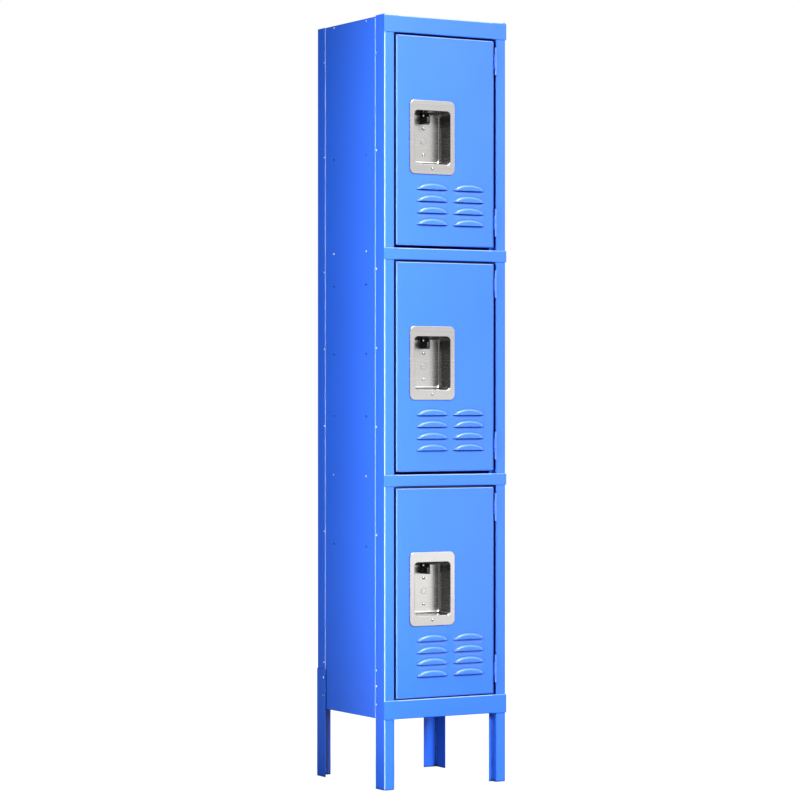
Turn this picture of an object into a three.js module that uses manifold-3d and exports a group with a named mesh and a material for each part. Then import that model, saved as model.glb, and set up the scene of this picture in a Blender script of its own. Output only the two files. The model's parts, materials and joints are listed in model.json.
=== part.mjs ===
// A three-tier steel locker cabinet: a riveted sheet-metal carcass on four legs and three hinged doors.
// Millimetres. +X is to the right, +Y is to the back, +Z is up.
// Inside this file y = 0 is the front face of the two front posts, and z = 0 is the floor.
import * as THREE from "three";
import { mergeVertices } from "three/addons/utils/BufferGeometryUtils.js";
import Module from "manifold-3d";

const wasm = await Module();
wasm.setup();

// ---- Overall sizes ----
const cabinetWidth = 312; // end to end of the front rails
const bodyDepth = 298; // front face of the posts to the rear face of the back panel
const cabinetHeight = 1676; // floor to top sheet
const legHeight = 152.5; // floor to underside of the body

// ---- Sheets and fits ----
const bodySheet = 0.9; // side, back, top and shelf panels
const frameSheet = 1.2; // posts, rails, legs and doors
const bendRadius = 0.8; // inside radius of each fold
const fitGap = 0.3; // between two sheets that lie on each other
const past = 1; // how far a cutter runs past what it cuts
const bite = 0.5; // how far two joined shapes of one piece run into each other

// ---- Front posts, which run down to the floor as the front legs ----
const postInset = 1.5; // how far each rail end stands past the post
const postFace = 24.4;
const postFlange = 38.6; // along the side of the body
const stopLip = 9; // how far the door stop reaches in
const postEdge = cabinetWidth / 2 - postInset; // outer face of a post, from the middle
const postInner = postEdge - postFace; // edge of the door opening, from the middle

// ---- Front rails ----
const railProud = frameSheet + fitGap; // rail face in front of the post face
const topRailHeight = 36.6;
const midRailHeight = 25.4;
const bottomRailHeight = 41;
const lowTierShort = 3.8; // the lowest door opening is this much lower than the other two
const headLip = 13; // depth of the door stop under each rail

// ---- Panels ----
const sideLap = 17; // how far a side panel tucks in behind a post flange
const stepStart = 0.4; // rear edge of the post flange to the step in front of that lap
const stepRun = 2.1; // length of the step
const sideDrop = 2; // side panel's upper edge below the top sheet
const backWrap = 35; // back panel's return along each side
const shelfFlange = 18;
const spareHoleRadius = 2.4;
const spareHoleRows = [523, 808, 944, 1095.5, 1377.6]; // spare shelf holes above the floor
const holeFromFront = 80.6;
const holeSpacing = 144.5;

// ---- Rear legs ----
const rearLegHeight = 241.5;
const rearLegSide = 39.6;
const rearLegBack = 35;

// ---- Doors ----
const doorGapLatch = 5.3;
const doorGapHinge = 6.2;
const doorGapTop = 4.3;
const doorGapBottom = 2.2; // under the lowest door
const doorDepth = 13;
const doorLip = 11; // return lip around the back of the door
const bumperSpace = 2; // between the back of a closed door and the door stop
const stopDepth = doorDepth + bumperSpace; // front face of the posts to the door stop

// ---- Louvers ----
const louverWidth = 75;
const louverHeight = 13.5;
const louverProud = 5;
const louverPitch = 25.6;
const louverRows = 4;
const louverColumnGap = 18; // between the two columns
const louverFirst = 46; // lowest louver above the door's lower edge
const louverSheet = 1.1;
const louverMouth = 0.6; // the slot runs this far below the louver's flat edge

// ---- Handle cup ----
const cupPlateWidth = 114.8;
const cupPlateHeight = 161.5;
const cupPlateCorner = 13;
const cupPlateSheet = 1.5;
const cupOpenWidth = 90;
const cupOpenHeight = 115.6;
const cupCorner = 8;
const cupDepth = 36; // door face to the inside of the cup's back
const cupSheet = 1;
const cupDraft = 2; // how far each wall leans in at the back
const cupFillet = 6;
const cupFromLatchEdge = 90; // door's latch edge to the middle of the cup
const cupAboveLouvers = 19.25; // top louver to the lower edge of the cup's plate

// ---- Latch lever, hasp and lock blank, placed from the middle of the cup ----
const leverTravel = 8;
const lugWidth = 4.4;
const lugFront = 9; // behind the door face
const lugHeight = 14.5;
const lugLow = 31.7; // underside of the lug above the cup's middle
const lugOffset = 7.2; // lug's latch-side face, from the cup's middle
const eyeRadius = 3.75;
const eyeBehindFront = 6.5;
const eyeAboveLow = 9;
const haspSheet = 3;
const haspHeight = 16.5; // at the back, under the round between the cup's back and ceiling
const haspBelowCeiling = 1.3;
const haspFrontHeight = cupOpenHeight / 2 - cupDraft - lugLow - haspBelowCeiling;
const haspFoot = 12.2;
const haspFootSheet = 1.8;
const plateCorner = 3; // front corners of the lug and of the hasp
const barSheet = 2.4;
const barHeight = 9.5;
const barRise = 2.5; // bar above the lug's underside
const barClear = 1.8; // between the bar's end and the post's door stop as the door swings
const barDrop = 2.6; // nose below the bar
const noseWidth = 8;
const noseClear = 0.4; // nose above the strike's tooth
const blankWidth = 30;
const blankHeight = 72;
const blankSheet = 1.2;
const blankCorner = 5;
const lockHoleRadius = 7.2;
const studSpacing = 57;
const studDrop = 6.8; // lock blank's middle below the cup's middle
const studRadius = 2.3;
const studHeadRadius = 3.4;
const studHeadHeight = 1.6;

// ---- Hinges ----
const hingeLength = 61;
const hingeFromTop = 14;
const hingeFromBottom = 25;
const barrelRadius = 3.1;
const barrelForward = 1.6; // hinge axis in front of the post face
const barrelFromPost = 1.7; // hinge axis inside the post's inner edge
const pinRadius = 1.5;
const pinHeadRadius = 2.5;
const pinHeadHeight = 0.8;
const endKnuckle = 15;
const leafSheet = 1.2;
const leafDepth = 11.5;
const leafBehindFace = 0.7; // front edge of the door's leaf behind the door face

// ---- Small parts ----
const bumperRadius = 3.6;
const bumperStem = 1.4;
const bumperBarb = 2.6; // radius of the head that holds the stem in its hole
const bumperBarbHeight = 1.2;
const bumperBelow = 0.6; // bumper below the door's upper edge
const latchSideInset = 30; // latch guide and bumper, from the door's latch edge
const strikeWidth = 10;
const strikeHeight = 9;
const strikeSheet = 1.5;
const strikeTooth = 2.2;
const strikeBehind = 2; // tooth in front of the latch nose
const guideSheet = 1.5;
const guideFoot = 12;
const guideMargin = 6; // guide above and below the latch bar's travel
const guideBehind = 4; // guide past the back of the latch bar

// ---- Finishes ----
const finishes = {
  bluePaint: { color: 0x5f9cf7, roughness: 0.42, metalness: 0 },
  stainless: { color: 0xc4c3bf, roughness: 0.3, metalness: 1 },
  blackNylon: { color: 0x121214, roughness: 0.5, metalness: 0 },
  zincSteel: { color: 0xa9abad, roughness: 0.4, metalness: 1 },
  blackRubber: { color: 0x1b1b1b, roughness: 0.85, metalness: 0 },
};

// ---- Places worked out from the sizes ----
const panelStart = postFlange + stepStart + stepRun + bodySheet; // behind the step in the side panels
const sideOuter = postEdge; // a side panel is flush with the post flange
const sideInner = sideOuter - bodySheet;
const lapOuter = postEdge - frameSheet - fitGap; // where the side panel lies behind the post flange
const wrapOuter = sideOuter + fitGap + bodySheet; // outer face of the back panel's returns
const legOuter = wrapOuter + fitGap + frameSheet;
const legRear = bodyDepth + fitGap + frameSheet;
const floorTop = legHeight + bottomRailHeight; // upper face of the compartment floor
const openingStack = cabinetHeight - topRailHeight - 2 * midRailHeight - floorTop + lowTierShort;
const tallOpening = openingStack / 3;
const lowOpening = tallOpening - lowTierShort;
const doorHeight = lowOpening - doorGapTop - doorGapBottom;
const doorLeft = -postInner + doorGapLatch;
const doorRight = postInner - doorGapHinge;
const cupX = doorLeft + cupFromLatchEdge;
const hingeX = postInner - barrelFromPost;
const barFront = cupDepth + cupSheet + blankSheet + 4 * fitGap;
const stopReach = Math.hypot(hingeX + postInner - stopLip, barrelForward + stopDepth); // hinge axis to stop
const barEnd = hingeX - Math.sqrt((stopReach - barClear) ** 2 - (barrelForward + barFront + barSheet) ** 2);
const frontReach = Math.max(louverProud, barrelForward + barrelRadius, cupPlateSheet + fitGap, railProud);

// The three compartments, from the top: name, floor and ceiling of each door opening.
const lowCeiling = floorTop + lowOpening;
const midFloor = lowCeiling + midRailHeight;
const midCeiling = midFloor + tallOpening;
const topFloor = midCeiling + midRailHeight;
const tiers = [
  { name: "top", floor: topFloor, ceiling: topFloor + tallOpening },
  { name: "middle", floor: midFloor, ceiling: midCeiling },
  { name: "bottom", floor: floorTop, ceiling: lowCeiling },
];

// ---- Solid making ----
function solid(geometry) {
  const bare = geometry.index ? geometry.toNonIndexed() : geometry.clone();
  bare.deleteAttribute("normal");
  bare.deleteAttribute("uv");
  const merged = mergeVertices(bare, 1e-4);
  return new wasm.Manifold(
    new wasm.Mesh({
      numProp: 3,
      vertProperties: merged.attributes.position.array,
      triVerts: new Uint32Array(merged.index.array),
    }),
  );
}

function geometryOf(shape) {
  const mesh = shape.getMesh();
  return new THREE.BufferGeometry()
    .setAttribute("position", new THREE.BufferAttribute(mesh.vertProperties, 3))
    .setIndex(new THREE.BufferAttribute(mesh.triVerts, 1));
}

// A block between two values along each axis.
function block(x, y, z) {
  const size = [x[1] - x[0], y[1] - y[0], z[1] - z[0]];
  const middle = [(x[0] + x[1]) / 2, (y[0] + y[1]) / 2, (z[0] + z[1]) / 2];
  return solid(new THREE.BoxGeometry(...size).translate(...middle));
}

// A cylinder along one axis: centre gives the two other coordinates, span its two ends.
function rod(axis, radius, centre, span, sides = 12) {
  const geometry = new THREE.CylinderGeometry(radius, radius, span[1] - span[0], sides);
  const middle = (span[0] + span[1]) / 2;
  if (axis === "x") geometry.rotateZ(Math.PI / 2).translate(middle, centre[0], centre[1]);
  if (axis === "y") geometry.translate(centre[0], middle, centre[1]);
  if (axis === "z") geometry.rotateX(Math.PI / 2).translate(centre[0], centre[1], middle);
  return solid(geometry);
}

// Extrudes a shape drawn on (x, y) up through z.
function standing(shape, z) {
  const geometry = new THREE.ExtrudeGeometry(shape, { depth: z[1] - z[0], bevelEnabled: false });
  return solid(geometry.translate(0, 0, z[0]));
}

// Extrudes a shape drawn on (y, z) along x.
function lengthwise(shape, x) {
  const geometry = new THREE.ExtrudeGeometry(shape, { depth: x[1] - x[0], bevelEnabled: false });
  const turn = new THREE.Matrix4().makeBasis(
    new THREE.Vector3(0, 1, 0),
    new THREE.Vector3(0, 0, 1),
    new THREE.Vector3(1, 0, 0),
  );
  return solid(geometry.applyMatrix4(turn).translate(x[0], 0, 0));
}

// Extrudes a shape drawn on (x, z) from the front back to y[1]; its rear edge can be rounded.
function inward(shape, y, fillet = 0) {
  const geometry = new THREE.ExtrudeGeometry(shape, {
    depth: y[1] - y[0] - 2 * fillet,
    curveSegments: 3,
    bevelEnabled: fillet > 0,
    bevelThickness: fillet,
    bevelSize: fillet,
    bevelOffset: -fillet,
    bevelSegments: 2,
  });
  const turn = new THREE.Matrix4().makeBasis(
    new THREE.Vector3(1, 0, 0),
    new THREE.Vector3(0, 0, 1),
    new THREE.Vector3(0, -1, 0),
  );
  return geometry.applyMatrix4(turn).translate(0, y[1] - fillet, 0);
}

function roundedRectangle(centreX, centreZ, width, height, radius) {
  const [left, right] = [centreX - width / 2 + radius, centreX + width / 2 - radius];
  const [low, high] = [centreZ - height / 2 + radius, centreZ + height / 2 - radius];
  const shape = new THREE.Shape();
  shape.absarc(right, low, radius, -Math.PI / 2, 0, false);
  shape.absarc(right, high, radius, 0, Math.PI / 2, false);
  shape.absarc(left, high, radius, Math.PI / 2, Math.PI, false);
  shape.absarc(left, low, radius, Math.PI, 1.5 * Math.PI, false);
  return shape;
}

// The section of a folded sheet. The corners lie on one face of it, and its thickness is to their left.
function foldedSheet(corners, thickness) {
  const points = corners.map(([u, v]) => new THREE.Vector2(u, v));
  const near = [];
  const far = [];
  const leftOf = (d) => new THREE.Vector2(-d.y, d.x);
  const put = (point, normal) => {
    near.push(point);
    far.push(point.clone().addScaledVector(normal, thickness));
  };
  points.forEach((corner, i) => {
    const before = i > 0 ? corner.clone().sub(points[i - 1]).normalize() : null;
    const after = i < points.length - 1 ? points[i + 1].clone().sub(corner).normalize() : null;
    if (!before || !after) {
      put(corner, leftOf(before ?? after));
      return;
    }
    const turn = Math.atan2(before.cross(after), before.dot(after));
    const radius = turn > 0 ? bendRadius + thickness : bendRadius;
    const tangent = radius * Math.tan(Math.abs(turn) / 2);
    const start = corner.clone().addScaledVector(before, -tangent);
    const side = Math.sign(turn);
    const centre = start.clone().addScaledVector(leftOf(before), side * radius);
    const steps = 3;
    for (let k = 0; k <= steps; k += 1) {
      const normal = leftOf(before).rotateAround(new THREE.Vector2(), (turn * k) / steps);
      put(centre.clone().addScaledVector(normal, -side * radius), normal);
    }
  });
  return new THREE.Shape([...near, ...far.reverse()]);
}

const mirrored = (shape, side) => (side > 0 ? shape.mirror([1, 0, 0]) : shape);

// A span along x or z that reaches past the whole cabinet, for cutters.
const beyond = [-2 * cabinetHeight, 2 * cabinetHeight];

// ---- Carcass ----
function frontPost(side) {
  const section = foldedSheet(
    [
      [-postEdge, postFlange],
      [-postEdge, 0],
      [-postInner, 0],
      [-postInner, stopDepth],
      [-postInner + stopLip, stopDepth],
    ],
    frameSheet,
  );
  let post = standing(section, [0, cabinetHeight - bodySheet - fitGap]);
  if (side < 0) return post;
  post = mirrored(post, side);
  for (const tier of tiers) {
    for (const low of hingePlaces(tier)) post = post.subtract(knuckleNotch(low));
  }
  return post;
}

// The post's inner corner is notched where the hinge knuckles pass it.
function knuckleNotch(low) {
  const reach = hingeX + barrelRadius + fitGap;
  const depth = barrelRadius - barrelForward + fitGap;
  const ends = pinHeadHeight + 2 * fitGap; // past each end, for the pin's heads
  return block([postInner - past, reach], [-past, depth], [low - ends, low + hingeLength + ends]);
}

function rail(low, high, flangeTop, lip) {
  const span = postInner - stopLip - fitGap;
  const corners = [
    [stopDepth, flangeTop],
    [-railProud, flangeTop],
    [-railProud, low],
    [stopDepth, low],
  ];
  if (lip) corners.push([stopDepth, low - headLip]);
  const channel = lengthwise(foldedSheet(corners, frameSheet), [-span, span]);
  const half = cabinetWidth / 2;
  const face = block([-half, half], [-railProud, -railProud + frameSheet], [low, high]);
  return channel.add(face);
}

// A rail with the door stop under it, drilled for the door bumper's stem.
function railOverDoor(low, high, flangeTop) {
  const through = [stopDepth - past, stopDepth + frameSheet + past];
  const stem = rod("y", bumperStem + fitGap, [bumperX(), bumperZ(low)], through);
  return rail(low, high, flangeTop, true).subtract(stem);
}

function sidePanel(side) {
  const lapFront = postFlange - sideLap;
  const section = foldedSheet(
    [
      [-sideOuter, bodyDepth - bodySheet - 2 * fitGap],
      [-sideOuter, postFlange + stepStart + stepRun],
      [-lapOuter, postFlange + stepStart],
      [-lapOuter, lapFront],
    ],
    bodySheet,
  );
  let panel = standing(section, [legHeight, cabinetHeight - sideDrop]);
  const reach = [-sideOuter - past, -sideInner + past];
  for (const z of spareHoleRows) {
    for (const y of [holeFromFront, holeFromFront + holeSpacing]) {
      panel = panel.subtract(rod("x", spareHoleRadius, [y, z], reach, 8));
    }
  }
  return mirrored(panel, side);
}

function backPanel() {
  const front = bodyDepth - backWrap;
  const section = foldedSheet(
    [
      [wrapOuter, front],
      [wrapOuter, bodyDepth],
      [-wrapOuter, bodyDepth],
      [-wrapOuter, front],
    ],
    bodySheet,
  );
  return standing(section, [legHeight, cabinetHeight]);
}

function rearLeg(side) {
  const section = foldedSheet(
    [
      [-legOuter + rearLegBack, legRear],
      [-legOuter, legRear],
      [-legOuter, legRear - rearLegSide],
    ],
    frameSheet,
  );
  return mirrored(standing(section, [0, rearLegHeight]), side);
}

// A sheet with its edges turned down: the two shelves and the compartment floor. Its front corners are
// cut back to clear the posts.
function shelf(upper, flange) {
  const wide = sideInner - fitGap;
  const narrow = lapOuter - bodySheet - fitGap;
  const front = stopDepth + frameSheet + 2 * fitGap;
  const rear = bodyDepth - bodySheet - fitGap;
  const low = upper - flange;
  const hollow = block(
    [-wide + bodySheet, wide - bodySheet],
    [front + bodySheet, rear - bodySheet],
    [low - past, upper - bodySheet],
  );
  const corner = (x) => block(x, [front - past, panelStart], [low - past, upper + past]);
  return block([-wide, wide], [front, rear], [low, upper])
    .subtract(hollow)
    .subtract(corner([-wide - past, -narrow]))
    .subtract(corner([narrow, wide + past]));
}

// The top sheet covers the posts, and its side and rear edges are turned down inside the panels.
function topPanel() {
  const wide = sideInner - fitGap;
  const rear = bodyDepth - bodySheet - fitGap;
  const low = cabinetHeight - shelfFlange;
  const under = [low - past, cabinetHeight - bodySheet];
  return block([-wide, wide], [0, rear], [low, cabinetHeight])
    .subtract(block([-wide + bodySheet, wide - bodySheet], [-past, rear - bodySheet], under))
    .subtract(block([-wide - past, wide + past], [-past, panelStart], under));
}

// ---- Doors ----
const doorTop = (tier) => tier.ceiling - doorGapTop;
const doorBottom = (tier) => doorTop(tier) - doorHeight;
const louverStack = louverFirst + (louverRows - 1) * louverPitch + louverHeight;
const cupZ = (tier) => doorBottom(tier) + louverStack + cupAboveLouvers + cupPlateHeight / 2;

function doorPan(tier) {
  const [low, high] = [doorBottom(tier), doorTop(tier)];
  const inset = (d) => [
    [doorLeft + d, doorRight - d],
    [low + d, high - d],
  ];
  const [outerX, outerZ] = inset(0);
  const [innerX, innerZ] = inset(frameSheet);
  const [mouthX, mouthZ] = inset(doorLip);
  return block(outerX, [0, doorDepth], outerZ)
    .subtract(block(innerX, [frameSheet, doorDepth - frameSheet], innerZ))
    .subtract(block(mouthX, [frameSheet, doorDepth + past], mouthZ));
}

// A quarter of an ellipsoid, flat side down, with its tips to the left and right. It is drawn in by inset.
function louverDome(x, z, inset, below) {
  const scale = [louverWidth / 2 - inset, louverProud - inset, louverHeight - inset];
  const ball = new THREE.SphereGeometry(1, 12, 8).rotateZ(Math.PI / 2).scale(...scale);
  const depth = [-2 * louverProud, inset > 0 ? frameSheet + past : frameSheet / 2];
  const keep = block([x - louverWidth, x + louverWidth], depth, [z - below, z + 2 * louverHeight]);
  return solid(ball.translate(x, 0, z)).intersect(keep);
}

function louverPlaces(tier) {
  const places = [];
  for (let row = 0; row < louverRows; row += 1) {
    const z = doorBottom(tier) + louverFirst + row * louverPitch;
    for (const column of [0, 1]) places.push([cupX + column * (louverWidth + louverColumnGap), z]);
  }
  return places;
}

function doorPanel(tier) {
  let door = doorPan(tier);
  const clearance = 2 * (cupSheet + fitGap);
  const hole = roundedRectangle(
    cupX,
    cupZ(tier),
    cupOpenWidth + clearance,
    cupOpenHeight + clearance,
    cupCorner + clearance / 2,
  );
  door = door.subtract(solid(inward(hole, [-past, frameSheet + past])));
  for (const [x, z] of louverPlaces(tier)) {
    door = door.add(louverDome(x, z, 0, 0)).subtract(louverDome(x, z, louverSheet, louverMouth));
  }
  return door;
}

// Leans the walls of the cup in towards its middle, in proportion to the depth.
function leanIn(geometry, tier) {
  const position = geometry.attributes.position;
  for (let i = 0; i < position.count; i += 1) {
    const lean = (cupDraft * Math.max(0, position.getY(i))) / cupDepth;
    const [dx, dz] = [position.getX(i) - cupX, position.getZ(i) - cupZ(tier)];
    position.setX(i, position.getX(i) - (dx * lean * 2) / cupOpenWidth);
    position.setZ(i, position.getZ(i) - (dz * lean * 2) / cupOpenHeight);
  }
  return geometry;
}

function cupBody(tier, wall, depth, fillet) {
  const width = cupOpenWidth + 2 * wall;
  const height = cupOpenHeight + 2 * wall;
  const outline = roundedRectangle(cupX, cupZ(tier), width, height, cupCorner + wall);
  const front = -cupPlateSheet - fitGap - past; // in front of the plate
  return solid(leanIn(inward(outline, [front, depth], fillet), tier));
}

function handleCup(tier) {
  const z = cupZ(tier);
  const outline = roundedRectangle(cupX, z, cupPlateWidth, cupPlateHeight, cupPlateCorner);
  const plate = solid(inward(outline, [-cupPlateSheet - fitGap, -fitGap]));
  const behindFace = block(beyond, [-fitGap - bite / 2, 2 * cupDepth], beyond);
  const shell = cupBody(tier, cupSheet, cupDepth + cupSheet, cupFillet + cupSheet).intersect(behindFace);
  const back = [cupDepth - cupFillet - past, cupDepth + cupSheet + past];
  const lug = lugSpan();
  const slot = block(
    [lug[0] - fitGap, lug[1] + fitGap],
    back,
    [z + lugLow - 2 * fitGap, z + lugLow + lugHeight + leverTravel + 2 * fitGap],
  );
  let cup = plate.add(shell).subtract(cupBody(tier, 0, cupDepth, cupFillet)).subtract(slot);
  cup = cup.subtract(rod("y", lockHoleRadius, [cupX, z - studDrop], back, 16));
  for (const studZ of studPlaces(tier)) {
    cup = cup.subtract(rod("y", studRadius + fitGap, [cupX, studZ], back, 8));
  }
  return cup;
}

const studPlaces = (tier) => [-1, 1].map((side) => cupZ(tier) - studDrop + (side * studSpacing) / 2);

// The plate that closes the cup's unused lock hole, riveted through the cup's back.
function lockBlank(tier) {
  const z = cupZ(tier) - studDrop;
  const front = cupDepth + cupSheet + fitGap;
  const outline = roundedRectangle(cupX, z, blankWidth, blankHeight, blankCorner);
  const joint = front + bite;
  let blank = solid(inward(outline, [front, front + blankSheet]));
  blank = blank.add(rod("y", lockHoleRadius - fitGap, [cupX, z], [cupDepth + cupSheet / 2, joint], 16));
  for (const studZ of studPlaces(tier)) {
    const headRear = cupDepth - fitGap;
    blank = blank.add(rod("y", studRadius, [cupX, studZ], [headRear - bite, joint], 8));
    blank = blank.add(rod("y", studHeadRadius, [cupX, studZ], [headRear - studHeadHeight, headRear], 8));
  }
  return blank;
}

// ---- Latch ----
const lugSpan = () => [cupX - lugOffset, cupX - lugOffset + lugWidth];
const barLow = (tier) => cupZ(tier) + lugLow + barRise;

// A plate on (y, z) with two rounded front corners and the padlock eye.
function eyedPlate(front, rear, low, high) {
  const round = plateCorner;
  const shape = new THREE.Shape();
  shape.moveTo(rear, low);
  shape.lineTo(rear, high);
  shape.absarc(front + round, high - round, round, Math.PI / 2, Math.PI, false);
  shape.absarc(front + round, low + round, round, Math.PI, 1.5 * Math.PI, false);
  return shape;
}

function eyeHole(tier, x) {
  const y = lugFront + eyeBehindFront;
  return rod("x", eyeRadius, [y, cupZ(tier) + lugLow + eyeAboveLow], x, 12);
}

function latchLever(tier) {
  const low = cupZ(tier) + lugLow;
  const lug = lengthwise(eyedPlate(lugFront, barFront + barSheet, low, low + lugHeight), lugSpan());
  const depth = [barFront, barFront + barSheet];
  const under = barLow(tier);
  const bar = block([barEnd, lugSpan()[0] + bite], depth, [under, under + barHeight]);
  const nose = block([barEnd, barEnd + noseWidth], depth, [under - barDrop, under + bite]);
  return lug.add(bar).add(nose).subtract(eyeHole(tier, [lugSpan()[0] - past, lugSpan()[1] + past]));
}

function padlockHasp(tier) {
  const low = cupZ(tier) + lugLow;
  const left = lugSpan()[1] + 1.5 * fitGap;
  const rear = cupDepth - fitGap;
  const plateX = [left, left + haspSheet];
  const frontRear = cupDepth - cupFillet;
  const front = lengthwise(eyedPlate(lugFront, frontRear, low, low + haspFrontHeight), plateX);
  const plate = front.add(block(plateX, [frontRear - bite, rear], [low, low + haspHeight]));
  const footX = [left, left + haspFoot + haspSheet];
  const foot = block(footX, [rear - haspFootSheet, rear], [low, low + lugHeight]);
  return plate.add(foot).subtract(eyeHole(tier, [left - past, left + haspSheet + past]));
}

// The upright behind the door skin that carries the latch bar through a window.
function latchGuide(tier) {
  const [low, high] = [barLow(tier), barLow(tier) + barHeight + leverTravel];
  const x = doorLeft + latchSideInset;
  const z = [low - guideMargin, high + guideMargin];
  const start = frameSheet + fitGap;
  const web = block([x, x + guideSheet], [start, barFront + barSheet + guideBehind], z);
  const foot = block([x - guideFoot, x + guideSheet], [start, start + guideSheet], z);
  const window = block(
    [x - past, x + guideSheet + past],
    [barFront - fitGap, barFront + barSheet + fitGap],
    [low - fitGap, high + 3 * fitGap],
  );
  return web.add(foot).subtract(window);
}

// The bracket on the post's door stop, with the tooth that stands in front of the latch nose.
function strike(tier) {
  const toothTop = barLow(tier) - barDrop - noseClear;
  const low = toothTop - strikeHeight;
  const front = stopDepth + frameSheet + fitGap;
  const rear = barFront - strikeBehind;
  const armX = [barEnd - (strikeWidth - noseWidth) / 2, barEnd + (strikeWidth + noseWidth) / 2];
  const base = block([-postInner + fitGap, armX[1]], [front, front + strikeSheet], [low, toothTop]);
  const arm = block(armX, [front, rear], [low, low + strikeSheet]);
  const tooth = block(armX, [rear - strikeTooth, rear], [low, toothTop]);
  return base.add(arm).add(tooth);
}

// ---- Hinges ----
const hingePlaces = (tier) => [
  doorTop(tier) - hingeFromTop - hingeLength,
  doorBottom(tier) + hingeFromBottom,
];
const axisPoint = [hingeX, -barrelForward];

const knuckle = (z) => rod("z", barrelRadius, axisPoint, z, 12);
const pinBore = (z) => rod("z", pinRadius + fitGap, axisPoint, [z[0] - past, z[1] + past], 8);

function frameLeaf(low) {
  const high = low + hingeLength;
  const plateX = [postInner - fitGap - leafSheet, postInner - fitGap];
  const plateFront = barrelRadius - barrelForward + 2 * fitGap; // behind the door's turning knuckle
  let leaf = block(plateX, [plateFront, leafDepth], [low, high]);
  for (const z of [[low, low + endKnuckle], [high - endKnuckle, high]]) {
    leaf = leaf.add(knuckle(z)).add(block(plateX, [-barrelForward, plateFront + bite], z));
  }
  return leaf.subtract(pinBore([low, high]));
}

function doorLeaf(low) {
  const high = low + hingeLength;
  const inside = doorRight + fitGap;
  const middle = [low + endKnuckle + fitGap, high - endKnuckle - fitGap];
  const plate = block([inside, inside + leafSheet], [leafBehindFace, leafDepth], [low, high]);
  const bridgeDepth = [-barrelForward, leafBehindFace + 1.4 * bite];
  const bridge = block([inside, hingeX - barrelRadius + 1.8 * bite], bridgeDepth, middle);
  return plate.add(bridge).add(knuckle(middle)).subtract(pinBore(middle));
}

function hingePin(low) {
  const high = low + hingeLength;
  const head = (z) => rod("z", pinHeadRadius, axisPoint, z, 8);
  return rod("z", pinRadius, axisPoint, [low - 1.5 * fitGap, high + 1.5 * fitGap], 8)
    .add(head([high + fitGap, high + fitGap + pinHeadHeight]))
    .add(head([low - fitGap - pinHeadHeight, low - fitGap]));
}

// ---- Bumpers ----
const bumperX = () => doorLeft + latchSideInset;
const bumperZ = (ceiling) => ceiling - doorGapTop - bumperRadius - bumperBelow;

function doorBumper(tier) {
  const centre = [bumperX(), bumperZ(tier.ceiling)];
  const rear = stopDepth + frameSheet + fitGap;
  return rod("y", bumperRadius, centre, [doorDepth + fitGap, stopDepth - fitGap])
    .add(rod("y", bumperStem, centre, [stopDepth - fitGap - bite, rear + bite], 8))
    .add(rod("y", bumperBarb, centre, [rear, rear + bumperBarbHeight], 8));
}

// ---- Assembly ----
const cabinet = new THREE.Group();
cabinet.position.y = (frontReach - legRear) / 2; // the middle of the depth comes to y = 0

function place(name, shape, finish) {
  const mesh = new THREE.Mesh(geometryOf(shape), new THREE.MeshStandardMaterial(finishes[finish]));
  mesh.name = name;
  cabinet.add(mesh);
}

for (const [word, side] of [["left", -1], ["right", 1]]) {
  place(`front_post_${word}`, frontPost(side), "bluePaint");
  place(`side_panel_${word}`, sidePanel(side), "bluePaint");
  place(`rear_leg_${word}`, rearLeg(side), "bluePaint");
}
place("back_panel", backPanel(), "bluePaint");
place("top_panel", topPanel(), "bluePaint");
place("shelf_upper", shelf(topFloor, shelfFlange), "bluePaint");
place("shelf_lower", shelf(midFloor, shelfFlange), "bluePaint");
place("compartment_floor", shelf(floorTop, bottomRailHeight), "bluePaint");

const topFlange = cabinetHeight - bodySheet - fitGap;
place("top_rail", railOverDoor(tiers[0].ceiling, cabinetHeight, topFlange), "bluePaint");
place("mid_rail_upper", railOverDoor(midCeiling, topFloor, topFloor), "bluePaint");
place("mid_rail_lower", railOverDoor(lowCeiling, midFloor, midFloor), "bluePaint");
place("bottom_rail", rail(legHeight, floorTop, floorTop, false), "bluePaint");

for (const tier of tiers) {
  const end = tier.name;
  place(`door_panel_${end}`, doorPanel(tier), "bluePaint");
  place(`handle_cup_${end}`, handleCup(tier), "stainless");
  place(`lock_blank_${end}`, lockBlank(tier), "stainless");
  place(`latch_lever_${end}`, latchLever(tier), "blackNylon");
  place(`padlock_hasp_${end}`, padlockHasp(tier), "blackNylon");
  place(`latch_guide_${end}`, latchGuide(tier), "zincSteel");
  place(`strike_${end}`, strike(tier), "zincSteel");
  place(`door_bumper_${end}`, doorBumper(tier), "blackRubber");
  hingePlaces(tier).forEach((low, i) => {
    const which = i === 0 ? "upper" : "lower";
    place(`frame_leaf_${end}_${which}`, frameLeaf(low), "bluePaint");
    place(`door_leaf_${end}_${which}`, doorLeaf(low), "bluePaint");
    place(`hinge_pin_${end}_${which}`, hingePin(low), "bluePaint");
  });
}

export default cabinet;
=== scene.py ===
import json
import math

import bmesh
import bpy
from mathutils import Matrix, Vector

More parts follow.
